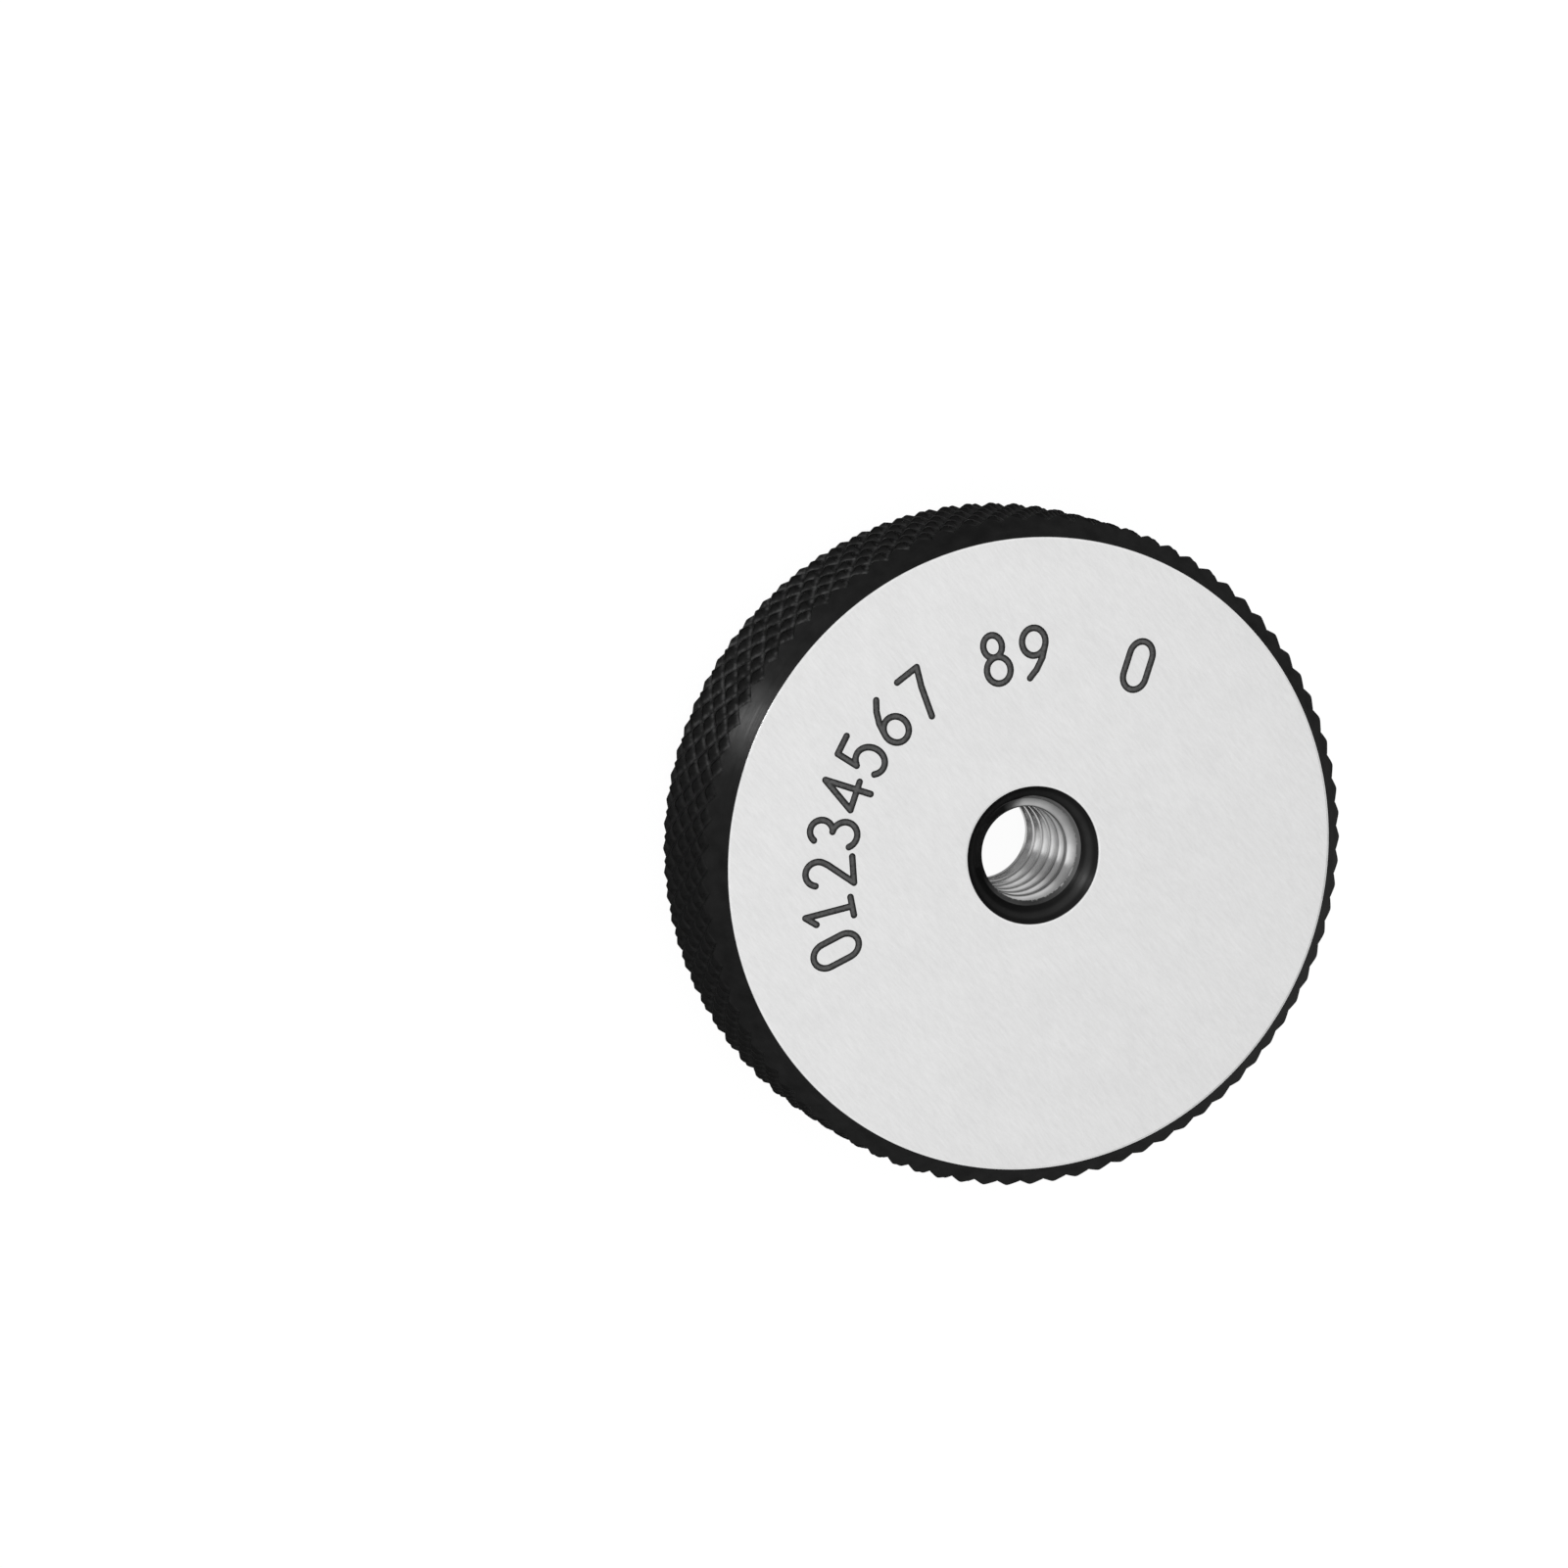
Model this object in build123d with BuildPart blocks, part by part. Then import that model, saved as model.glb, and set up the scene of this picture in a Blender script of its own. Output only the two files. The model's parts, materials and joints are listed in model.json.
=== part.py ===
from build123d import *
import os
from math import cos, sin, pi, radians, sqrt, tan

# ---------------------------------------------------------------------------
# Solid thread ring gauge, lying flat on its lower face.
# Frame: origin at the centre of the lower face, +Z along the thread axis,
# out of the marked face. Millimetres.
# The gauge is one piece of tool steel: a turned disc with a diamond-knurled
# rim, a plain 45 degree band on each side of the knurl, two ground faces,
# a countersink at each end of the bore, and a right-hand internal thread.
# ---------------------------------------------------------------------------

# turned blank
OUTER_DIAMETER = 32.0        # over the crests of the knurl
THICKNESS = 8.4              # face to face
BAND = 1.0                   # the plain 45 degree band beside each face
FACE_DIAMETER = OUTER_DIAMETER - 2 * BAND

# thread, No. 12 at 24 threads to the inch; the bore wall is at the thread's
# minor diameter, and the thread's own grooves are a finish on that wall
THREAD_MAJOR = 5.486
THREAD_PITCH = 25.4 / 24
THREAD_MINOR = 4.341
COUNTERSINK_MOUTH = 6.6      # diameter at the face, 90 degrees included

# diamond knurl: two sets of 30 degree V grooves that cross
KNURL_COUNT = 85             # diamonds round the rim
KNURL_ANGLE = 30.0           # helix angle of each set of grooves
KNURL_DEPTH = 0.28           # from the land on a diamond to the groove's bottom
KNURL_LAND = 0.06            # how much of each diamond's sharp tip is missing

outer_r = OUTER_DIAMETER / 2
face_r = FACE_DIAMETER / 2
minor_r = THREAD_MINOR / 2
mouth_r = COUNTERSINK_MOUTH / 2
sink_depth = mouth_r - minor_r                  # 45 degree flank

pitch_round = pi * OUTER_DIAMETER / KNURL_COUNT          # diamond width
pitch_axial = pitch_round / tan(radians(KNURL_ANGLE))    # diamond height
valley_r = outer_r - KNURL_DEPTH
apex_r = outer_r + KNURL_LAND
half_turn = pi / KNURL_COUNT                    # half a diamond, in angle
row_step = pitch_axial / 2                      # rows interleave
first_row_z = BAND + row_step / 2               # the lower band cuts between two rows


# --- the knurl's surface ---------------------------------------------------
# Each diamond is a low pyramid: four corners in the grooves, four flanks, and
# a small flat land where the tip was rolled down. Rows interleave by half a
# diamond. All the facets are flat, so they close into one exact solid.
def on_cylinder(r, angle, z):
    return Vector(r * cos(angle), r * sin(angle), z)


def lerp(p, q, t):
    return p + (q - p) * t


def diamond(angle, z, upper=True, lower=True):
    """The facets of one diamond (or of its upper or lower half)."""
    left = on_cylinder(valley_r, angle - half_turn, z)
    right = on_cylinder(valley_r, angle + half_turn, z)
    top = on_cylinder(valley_r, angle, z + row_step)
    bottom = on_cylinder(valley_r, angle, z - row_step)
    apex = on_cylinder(apex_r, angle, z)
    side_x = valley_r * cos(half_turn)
    t_side = (outer_r - side_x) / (apex_r - side_x)
    t_tall = (outer_r - valley_r) / (apex_r - valley_r)
    land_left, land_right = lerp(left, apex, t_side), lerp(right, apex, t_side)
    land_top, land_bottom = lerp(top, apex, t_tall), lerp(bottom, apex, t_tall)
    loops = []
    if upper:
        loops += [[left, top, land_top, land_left], [top, right, land_right, land_top]]
    if lower:
        loops += [[bottom, left, land_left, land_bottom], [right, bottom, land_bottom, land_right]]
    land = [land_left]
    land += [land_top] if upper else []
    land += [land_right]
    land += [land_bottom] if lower else []
    loops.append(land)
    return loops, (left, land_left, land_right, right)


def knurled_drum(first, last):
    """A closed drum with the knurl on its rim, cut off through the middle of
    its first and last rows of diamonds."""
    loops = []
    for row in range(first, last + 1):
        rim = []
        z = first_row_z + row * row_step
        offset = half_turn * (row % 2)
        for k in range(KNURL_COUNT):
            facets, middle = diamond(2 * half_turn * k + offset, z, row < last, row > first)
            loops += facets
            rim += middle[:3]
        if row in (first, last):
            loops.append(rim)                   # flat end of the drum
    faces = [Face(Wire.make_polygon(loop, close=True)) for loop in loops]
    return Solid(Shell(faces))


drum = knurled_drum(-2, 7)

with BuildPart() as gauge_ring:
    # half section of the turned blank. The two bands run on past the crests of
    # the knurl, so that they cut the diamonds as the turning tool does.
    over = outer_r + 1.0
    run_out = over - face_r
    with BuildSketch(Plane.XZ) as section:
        with BuildLine() as outline:
            Polyline(
                (mouth_r, 0),
                (face_r, 0),
                (over, run_out),
                (over, THICKNESS - run_out),
                (face_r, THICKNESS),
                (mouth_r, THICKNESS),
                (minor_r, THICKNESS - sink_depth),
                (minor_r, sink_depth),
                close=True,
            )
        make_face()
    revolve(axis=Axis.Z)
    # the knurl: only what is inside the knurled drum stays
    add(drum, mode=Mode.INTERSECT)

gauge_ring.part.label = "gauge_ring"

os.makedirs("parts", exist_ok=True)
export_step(gauge_ring.part, "parts/gauge_ring.step")
print("diamonds", KNURL_COUNT, "width", round(pitch_round, 3), "height", round(pitch_axial, 3))
print("volume mm3", round(gauge_ring.part.volume, 2), "faces", len(gauge_ring.part.faces()))
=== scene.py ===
import bpy, bmesh, json, math
import numpy as np
from mathutils import Matrix, Vector
from mathutils.geometry import delaunay_2d_cdt

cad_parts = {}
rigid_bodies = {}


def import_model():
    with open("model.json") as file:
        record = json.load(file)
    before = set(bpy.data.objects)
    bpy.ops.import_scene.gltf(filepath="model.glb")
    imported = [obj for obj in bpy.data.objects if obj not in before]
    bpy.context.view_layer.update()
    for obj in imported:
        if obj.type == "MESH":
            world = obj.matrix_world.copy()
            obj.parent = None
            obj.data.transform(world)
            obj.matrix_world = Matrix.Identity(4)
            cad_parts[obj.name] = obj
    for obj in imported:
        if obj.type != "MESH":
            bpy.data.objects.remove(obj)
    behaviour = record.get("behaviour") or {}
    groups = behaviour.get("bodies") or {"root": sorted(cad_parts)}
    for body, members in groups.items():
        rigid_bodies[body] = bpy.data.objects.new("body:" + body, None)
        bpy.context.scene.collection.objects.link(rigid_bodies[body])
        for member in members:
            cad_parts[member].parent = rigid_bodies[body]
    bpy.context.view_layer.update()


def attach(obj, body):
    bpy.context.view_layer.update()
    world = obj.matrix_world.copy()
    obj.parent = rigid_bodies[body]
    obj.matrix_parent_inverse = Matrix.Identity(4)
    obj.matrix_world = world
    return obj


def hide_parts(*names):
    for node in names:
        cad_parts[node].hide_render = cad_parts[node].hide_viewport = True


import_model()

# ---------------------------------------------------------------------------
# Sizes in millimetres, the same as the CAD's. +Z is the thread's axis and the
# marked face is up.
# ---------------------------------------------------------------------------
MM = 0.001
T = 8.4                    # face to face
OUTER_R = 16.0             # over the knurl's crests
FACE_R = 15.0              # the ground faces; a 45 degree band runs out from here
MOUTH_R = 3.3              # countersink at the face
MAJOR_R = 5.486 / 2
MINOR_R = 4.341 / 2
PITCH = 25.4 / 24
N_KNURL = 85
VALLEY_R = OUTER_R - 0.28
APEX_R = OUTER_R + 0.06
ROW = 2 * math.pi * OUTER_R / N_KNURL / math.tan(math.radians(30)) / 2
FIRST_ROW = 1.0 + ROW / 2  # the lower band cuts between two rows of diamonds
TAU = 2 * math.pi

# ---------------------------------------------------------------------------
# Camera
# ---------------------------------------------------------------------------
cam_data = bpy.data.cameras.new("camera")
cam = bpy.data.objects.new("camera", cam_data)
bpy.context.scene.collection.objects.link(cam)
cam_data.sensor_fit = "HORIZONTAL"
cam_data.sensor_width = 36.0
cam_data.lens = 6020.7 / 1601 * 36.0
cam_data.clip_start = 0.005
cam_data.clip_end = 20.0
_right = Vector((0.95156357, 0.0, 0.30745207))
_up = Vector((0.0444876, 0.98947591, -0.13768903))
_back = Vector((-0.30421642, 0.14469767, 0.94154923))
_m = Matrix((_right, _up, _back)).transposed().to_4x4()
_m.translation = Vector((-95.252465, 43.397457, 256.708059 + T)) * MM
cam.matrix_world = _m
bpy.context.scene.camera = cam

# ---------------------------------------------------------------------------
# The gauge's surface, built as closed patches that share their edges
# ---------------------------------------------------------------------------
GROUND, EDGES, BLACK, KNURL, SINK, BRIGHT, LEAD, MARK = range(8)
FACE_P, BREAK_P, BEVEL_P, BAND_P, KNURL_P, SINK_P, LEAD_P, THREAD_P, MARK_P = range(9)


class Surface:
    def __init__(self):
        self.co, self.tri, self.mat, self.patch, self.tone_and_painted_light = [], [], [], [], []
        self.n = 0

    # each point carries a tone for the materials, much of it painted light and shade
    def points(self, co, tone_and_painted_light=None):
        co = np.asarray(co, float).reshape(-1, 3)
        self.co.append(co)
        self.tone_and_painted_light.append(np.zeros(len(co)) if tone_and_painted_light is None else np.asarray(tone_and_painted_light, float))
        ids = np.arange(self.n, self.n + len(co))
        self.n += len(co)
        return ids

    def faces(self, tri, mat, patch):
        tri = np.asarray(tri, int).reshape(-1, 3)
        self.tri.append(tri)
        self.mat.append(np.full(len(tri), mat))
        self.patch.append(np.full(len(tri), patch))


S = Surface()


def ring(r, z, n=None, angles=None, tone_and_painted_light=0.0):
    """A circle of points: (ids, angles)."""
    a = np.arange(n) * TAU / n if angles is None else np.asarray(angles)
    ids = S.points(np.c_[r * np.cos(a), r * np.sin(a), np.full(len(a), z)], np.full(len(a), tone_and_painted_light))
    return ids, a


def zipper(ring_a, ring_b, mat, patch):
    """Triangles between two closed loops of points that are sorted by angle."""
    (ia, aa), (ib, ab) = ring_a, ring_b
    na, nb = len(ia), len(ib)
    i = j = 0
    out = []
    while i < na or j < nb:
        next_a = aa[(i + 1) % na] + (TAU if i + 1 >= na else 0) if i < na else 1e9
        next_b = ab[(j + 1) % nb] + (TAU if j + 1 >= nb else 0) if j < nb else 1e9
        if next_a <= next_b:
            out.append((ia[i % na], ia[(i + 1) % na], ib[j % nb]))
            i += 1
        else:
            out.append((ia[i % na], ib[(j + 1) % nb], ib[j % nb]))
            j += 1
    S.faces(out, mat, patch)


def clip(phi, r, z, extra, tri, g):
    """Keeps the part of a mesh, given in cylinder coordinates, where g <= 0. Returns the new
    arrays, the triangles, the points made on the cut and the edges along it."""
    g = np.where(np.abs(g) < 1e-7, -1e-7, g)
    inside = g <= 0
    k = inside[tri].sum(1)
    keep = tri[k == 3]
    P, R, Z, E = list(phi), list(r), list(z), list(extra)
    cut, made, new, along = {}, [], [], []

    def crossing(a, b):
        key = (a, b) if a < b else (b, a)
        if key not in cut:
            a, b = key
            t = g[a] / (g[a] - g[b])
            pb = phi[b]
            if pb - phi[a] > math.pi:
                pb -= TAU
            if phi[a] - pb > math.pi:
                pb += TAU
            P.append((phi[a] + (pb - phi[a]) * t) % TAU)
            R.append(r[a] + (r[b] - r[a]) * t)
            Z.append(z[a] + (z[b] - z[a]) * t)
            E.append(extra[a] + (extra[b] - extra[a]) * t)
            cut[key] = len(P) - 1
            made.append(len(P) - 1)
        return cut[key]

    for t in tri[(k == 1) | (k == 2)]:
        ins = inside[t]
        if ins.sum() == 1:
            s = int(np.argmax(ins))
            a, b, c = t[s], t[(s + 1) % 3], t[(s + 2) % 3]
            ab, ac = crossing(a, b), crossing(a, c)
            new.append((a, ab, ac))
            along.append((ab, ac))
        else:
            s = int(np.argmin(ins))
            a, b, c = t[s], t[(s + 1) % 3], t[(s + 2) % 3]
            ab, ac = crossing(a, b), crossing(a, c)
            new += [(ab, b, c), (ab, c, ac)]
            along.append((ab, ac))
    tri = np.vstack([keep, np.array(new, int)]) if new else keep
    return np.array(P), np.array(R), np.array(Z), np.array(E), tri, np.array(made, int), np.array(along, int)


# --- the knurl: a grid that follows the grooves and the ridges ---------------
def knurl():
    n, first, last = 6, -1, 7
    U, V = 2 * N_KNURL * n, (last - first) * n + 1
    u, v = np.meshgrid(np.arange(U), np.arange(first * n, last * n + 1), indexing="ij")
    i, j = u // n, v // n
    a, b = (u % n) / n, (v % n) / n

    def soft(x, e=0.05):
        return (np.sqrt(x * x + e * e) - e) / (math.sqrt(1 + e * e) - e)

    even = (i + j) % 2 == 0
    m = np.where(
        even,
        np.minimum(soft(a) + soft(b), soft(1 - a) + soft(1 - b)),
        np.minimum(soft(1 - a) + soft(b), soft(a) + soft(1 - b)),
    )
    low_tip = np.where(even, soft(a) + soft(b), soft(1 - a) + soft(b))
    high_tip = np.where(even, soft(1 - a) + soft(1 - b), soft(a) + soft(1 - b))
    facing_up = np.clip(0.5 + 1.5 * (high_tip - low_tip), 0, 1)
    sharp = VALLEY_R + (APEX_R - VALLEY_R) * (1 - m)
    k, cap = 0.016, OUTER_R - 0.004
    r = -k * np.log(np.exp(-(sharp - cap) / k) + 1) + cap
    phi = u * math.pi / (N_KNURL * n)
    z = FIRST_ROW + v / n * ROW
    # a rolled knurl isn't perfect: crests differ a little in height
    lump = 0.010 * np.sin(3 * phi + 1.0) * np.sin(2.1 * z) + 0.008 * np.sin(11 * phi + 1.7 * z)
    r = np.minimum(r - 0.012 + lump * 0.6, OUTER_R - 0.002)
    ids = np.arange(U * V).reshape(U, V)
    A, B = ids[:, :-1], np.roll(ids, -1, 0)[:, :-1]
    D, C = ids[:, 1:], np.roll(ids, -1, 0)[:, 1:]
    e = even[:, :-1]
    t1 = np.where(e[..., None], np.stack([A, B, D], -1), np.stack([A, B, C], -1))
    t2 = np.where(e[..., None], np.stack([B, C, D], -1), np.stack([A, C, D], -1))
    tri = np.concatenate([t1.reshape(-1, 3), t2.reshape(-1, 3)])
    # painted highlight: the black is drawn greyer low on the flanks that face up, and blackest on the flat tips
    height = np.interp(1 - np.clip(m, 0, 1), [0.0, 0.15, 0.36, 0.60, 1.0], [0.80, 0.90, 0.38, 0.10, 0.06]) * (0.25 + 0.75 * facing_up)
    P, R, Z, H = phi.ravel(), r.ravel(), z.ravel(), height.ravel()
    P, R, Z, H, tri, top, _ = clip(P, R, Z, H, tri, R - (FACE_R + T - Z))
    P, R, Z, H, tri, low, _ = clip(P, R, Z, H, tri, R - (FACE_R + Z))
    R[top] = FACE_R + T - Z[top]
    R[low] = FACE_R + Z[low]
    used = np.zeros(len(P), bool)
    used[tri.ravel()] = True
    index = np.full(len(P), -1)
    # the painted highlight is stronger on one side of the rim, around 138 degrees
    glint_side = 0.45 + 0.55 * np.interp(np.abs(np.degrees(P[used]) - 138), [18, 40], [1.0, 0.0])
    tone_and_painted_light = H[used] * glint_side
    index[used] = S.points(np.c_[R * np.cos(P), R * np.sin(P), Z][used], tone_and_painted_light)
    S.faces(index[tri], KNURL, KNURL_P)
    out = []
    for s in (top, low):
        s = s[used[s]]
        s = s[np.argsort(P[s])]
        out.append((index[s], P[s]))
    return out


knurl_top, knurl_low = knurl()

# --- bands, edge bevels and faces ---------------------------------------------
N_FACE, N_BORE = 512, 192
EDGE, EDGE_DROP = 0.075, 0.0065     # the faces' edges are rubbed round on a stone


def side(z_face, sign, knurl_loop):
    """The band and the bevel of one face: returns the face's outer ring."""
    on_band = ring(FACE_R + 0.022, z_face - sign * 0.022, N_FACE)
    mid_band = ring(FACE_R + 0.30, z_face - sign * 0.30, N_FACE)
    zipper(knurl_loop, mid_band, BLACK, BAND_P)
    zipper(mid_band, on_band, BLACK, BAND_P)
    lip = ring(FACE_R + 0.004, z_face - sign * EDGE_DROP, N_FACE)
    rim = ring(FACE_R + 0.004 - EDGE, z_face, N_FACE)
    zipper(on_band, lip, EDGES, BEVEL_P)
    zipper(lip, rim, EDGES, BREAK_P)
    return rim


# --- the thread: a right-hand helical strip that runs out into the two cones ----
CREST = 0.265              # the flat crest, as a fraction of the pitch


def thread_profile():
    """One pitch of the section, downwards from a crest's middle: places along the pitch, and
    depths from the minor diameter, both as fractions."""
    crest, root, nose = CREST, 0.125, 0.014
    flank = (1 - crest - root) / 2
    deep = MAJOR_R - MINOR_R
    turn = math.atan2(deep, flank * PITCH)
    back = nose * math.tan(turn / 2)
    q, d = [0.0], [0.0]
    for k in range(4):
        t = turn * k / 3
        q.append(crest / 2 + (nose * math.sin(t) - back) / PITCH)
        d.append(nose * (1 - math.cos(t)) / deep)
    for t in (0.14, 0.22, 0.30, 0.40, 0.55, 0.70, 0.85, 0.96):
        q.append(crest / 2 + flank * t)
        d.append(t)
    q.append(crest / 2 + flank + 0.02)
    d.append(0.995)
    half = list(zip(q, d))
    whole = half + [(0.5, 1.0)] + [(1 - x, y) for x, y in half[:0:-1]]
    return np.array([p[0] for p in whole]), np.array([p[1] for p in whole])


PROFILE_Q, PROFILE_D = thread_profile()
# the first crest's middle is 1.72 below the marked face at -45 degrees
THREAD_Z0 = T - 1.72 + PITCH * math.radians(45) / TAU
THREAD_Z0 += math.ceil((T + 0.6 - THREAD_Z0) / PITCH) * PITCH


def sunk(r):
    """How deep the countersink's surface lies below the face, at a radius: a 90 degree cone."""
    return MOUTH_R - r


def thread_radius(phi, z):
    q = ((THREAD_Z0 - z) / PITCH - ((-phi) % TAU) / TAU) % 1.0
    d = np.interp(q, np.r_[PROFILE_Q, 1.0], np.r_[PROFILE_D, PROFILE_D[0]])
    return MINOR_R + d * (MAJOR_R - MINOR_R)


def thread():
    per_turn, nq = 144, len(PROFILE_Q)
    rows = (int(math.ceil((THREAD_Z0 + 0.3) / PITCH)) + 1) * per_turn
    theta = np.arange(rows) * TAU / per_turn          # runs clockwise, downwards
    Zg = THREAD_Z0 - PITCH * theta[:, None] / TAU - PITCH * PROFILE_Q[None, :]
    Pg = np.repeat(((-theta) % TAU)[:, None], nq, 1)
    Eg = np.repeat(PROFILE_D[None, :], rows, 0)
    Rg = MINOR_R + Eg * (MAJOR_R - MINOR_R)
    ids = np.arange(rows * nq).reshape(rows, nq)
    A, B, C, D = ids[:-1, :-1], ids[1:, :-1], ids[1:, 1:], ids[:-1, 1:]
    tri = [np.stack([A, B, C], -1).reshape(-1, 3), np.stack([A, C, D], -1).reshape(-1, 3)]
    # the last column joins the first one of the next turn
    A, B = ids[: rows - per_turn - 1, -1], ids[1 : rows - per_turn, -1]
    D, C = ids[per_turn : rows - 1, 0], ids[per_turn + 1 : rows, 0]
    tri += [np.stack([A, B, C], -1).reshape(-1, 3), np.stack([A, C, D], -1).reshape(-1, 3)]
    tri = np.concatenate(tri)
    P, R, Z = Pg.ravel(), Rg.ravel(), Zg.ravel()
    E = thread_painted_light_and_finish(Eg.ravel(), P, R, Z)
    P, R, Z, E, tri, made, top = clip(P, R, Z, E, tri, Z - (T - sunk(R)))
    Z[made] = T - sunk(R[made])
    P, R, Z, E, tri, made, low = clip(P, R, Z, E, tri, sunk(R) - Z)
    Z[made] = sunk(R[made])
    used = np.zeros(len(P), bool)
    used[tri.ravel()] = True
    index = np.full(len(P), -1)
    index[used] = S.points(np.c_[R * np.cos(P), R * np.sin(P), Z][used], E[used])
    S.faces(index[tri], BRIGHT, THREAD_P)
    return [index[e[np.all(used[e], 1)]] for e in (top, low)]


def thread_painted_light_and_finish(depth, phi, r, z):
    """How bright the lapped surface is drawn, as painted light and shade: 1 on the flanks by the crests,
    painted shade on the crests and down in the grooves, less of it deep in the bore, and a painted
    sheen on one side. The dark crests are plainest on the first turn."""
    below = np.maximum(T - z - sunk(r), 0)
    first = 1 - np.clip((below - 0.35) / 0.3, 0, 1)
    # painted shade: darker down in the grooves, less so deep in the bore, and the first turn's open groove lighter
    groove = np.interp(depth, [0.0, 0.10, 0.22, 0.42, 0.70, 1.0], [1.0, 1.0, 0.88, 0.62, 0.50, 0.30])
    groove += (1 - groove) * 0.5 * np.clip((below - 2.6) / 1.5, 0, 1)
    open_groove = np.interp(depth, [0.0, 0.30, 0.60, 1.0], [1.0, 0.95, 0.70, 0.30])
    groove += (open_groove - groove) * first
    # painted sheen: lighter on one side of the bore
    painted_sheen = np.interp(np.degrees(phi + math.pi) % 360 - 180, [-30, -12, 25, 75], [0.0, 1.0, 0.8, 0.3])
    turns = [0.6, 1.65, 2.7, 3.75, 4.8]
    # painted shade on the crests: darkest near the countersink, lighter deeper down and on the sheen side
    crest_painted_shade = np.interp(below, turns, [0.06, 0.15, 0.22, 0.30, 0.33])
    crest_painted_shade += (np.interp(below, turns, [0.20, 0.50, 0.56, 0.60, 0.66]) - crest_painted_shade) * painted_sheen
    tone = crest_painted_shade + (groove - crest_painted_shade) * np.interp(depth, [0.0, 0.012, 0.04], [0.0, 0.1, 1.0])
    # where the thread comes up into the countersink it is still black
    clock = (108 - np.degrees(phi)) % 360
    black = np.interp(clock, [0, 14, 236, 262, 350, 360], [0.65, 0.0, 0.0, 1.0, 1.0, 0.65]) * (z > T - 2.2)
    return np.clip(tone, 0, 1) * (1 - black)


def wear_line(angle, at_bottom):
    """Where the black finish of a countersink ends: a spiral, from the threading tool's run-in."""
    if at_bottom:
        return np.full(len(angle), 2.78)
    c = np.degrees(angle)
    c = (108 - c) % 360
    r = np.interp(c, [0, 10, 20, 50, 108, 168, 228, 288, 335, 350, 360], [2.56, 2.72, 2.77, 2.74, 2.63, 2.55, 2.47, 2.40, 2.32, 2.40, 2.56])
    return r


def mouth(z_face, sign, cut_edges):
    """The countersink of one face, down to the thread: returns its ring in the face."""
    edge = ring(MOUTH_R + EDGE, z_face, N_BORE)
    mid = ring(MOUTH_R, z_face - sign * EDGE_DROP, N_BORE)
    lip = ring(MOUTH_R - 0.020, z_face - sign * sunk(MOUTH_R - 0.020), N_BORE)
    zipper(edge, mid, EDGES, BREAK_P)
    zipper(mid, lip, EDGES, BEVEL_P)
    co = np.vstack(S.co)
    verts, links = [], []
    k = len(lip[0])
    verts += [tuple(p) for p in co[lip[0]][:, :2]]
    links += [(i, (i + 1) % k) for i in range(k)]
    used = np.unique(cut_edges)
    where = {int(u): len(verts) + i for i, u in enumerate(used)}
    cut_xy = co[used][:, :2]
    verts += [tuple(p) for p in cut_xy]
    links += [(where[int(a)], where[int(b)]) for a, b in cut_edges]

    def open_to_thread(r, a, margin=0.0):
        z = z_face - sign * sunk(r)
        return thread_radius(a, z) > r - margin

    # the end of the black finish, kept outside the thread's opening
    a = np.arange(360) * TAU / 360
    rr = np.linspace(MINOR_R, MAJOR_R + 0.06, 160)
    hit = open_to_thread(rr[None, :], a[:, None])
    outer = np.where(hit.any(1), rr[hit.shape[1] - 1 - np.argmax(hit[:, ::-1], 1)], 0)
    outer = np.max([np.roll(outer, s) for s in range(-3, 4)], 0)
    border = np.maximum(wear_line(a, sign < 0), outer + 0.022)
    border = (np.roll(border, 1) + border + np.roll(border, -1)) / 3
    k = len(verts)
    verts += [tuple(p) for p in np.c_[border * np.cos(a), border * np.sin(a)]]
    links += [(k + i, k + (i + 1) % 360) for i in range(360)]
    for n, r in enumerate(np.arange(3.22, MINOR_R + 0.03, -0.075)):
        g = (np.arange(N_BORE) + 0.5 * (n % 2)) * TAU / N_BORE
        b = np.interp(g, np.r_[a, TAU], np.r_[border, border[0]])
        p = np.c_[r * np.cos(g), r * np.sin(g)]
        ok = ~open_to_thread(np.full(len(g), r), g, 0.02) & (np.abs(r - b) > 0.025)
        gap = np.hypot(p[:, None, 0] - cut_xy[None, :, 0], p[:, None, 1] - cut_xy[None, :, 1]).min(1)
        ok &= gap > 0.02
        verts += [tuple(q) for q in p[ok]]
    vo, _, fo, _, _, _ = delaunay_2d_cdt([Vector(p) for p in verts], links, [], 0, 1e-7, True)
    V = np.array([tuple(p) for p in vo], float)
    F = np.array([f for f in fo if len(f) == 3], int)
    c = V[F].mean(1)
    r, a2 = np.hypot(*c.T), np.arctan2(c[:, 1], c[:, 0]) % TAU
    keep = (r < MOUTH_R - 0.019) & (r > MINOR_R * 0.9985) & ~open_to_thread(r, a2)
    black = r > np.interp(a2, np.r_[a, TAU], np.r_[border, border[0]])
    rv = np.hypot(*V.T)
    # the bared cone is bright where the thread starts, and fades into the black either side
    clock = (108 - np.degrees(np.arctan2(V[:, 1], V[:, 0]))) % 360
    bare = np.interp(clock, [0, 8, 28, 85, 105, 125, 190, 215, 235, 265, 335, 348, 360], [0.45, 0.52, 0.52, 0.52, 0.50, 0.32, 0.15, 0.3, 0.3, 0, 0.05, 0.25, 0.45])
    ids = S.points(np.c_[V, z_face - sign * sunk(rv)], bare)
    S.faces(ids[F[keep & black]], SINK, SINK_P)
    S.faces(ids[F[keep & ~black]], LEAD, LEAD_P)
    return edge


thread_top, thread_low = thread()

rim_top = side(T, 1, knurl_top)
rim_low = side(0.0, -1, knurl_low)
hole_top = mouth(T, 1, thread_top)
hole_low = mouth(0.0, -1, thread_low)

# the plain lower face
last = hole_low
for r, n in ((5.0, 256), (8.0, 384), (11.5, 512)):
    nxt = ring(r, 0.0, n)
    zipper(last, nxt, GROUND, FACE_P)
    last = nxt
zipper(last, rim_low, GROUND, FACE_P)


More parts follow.
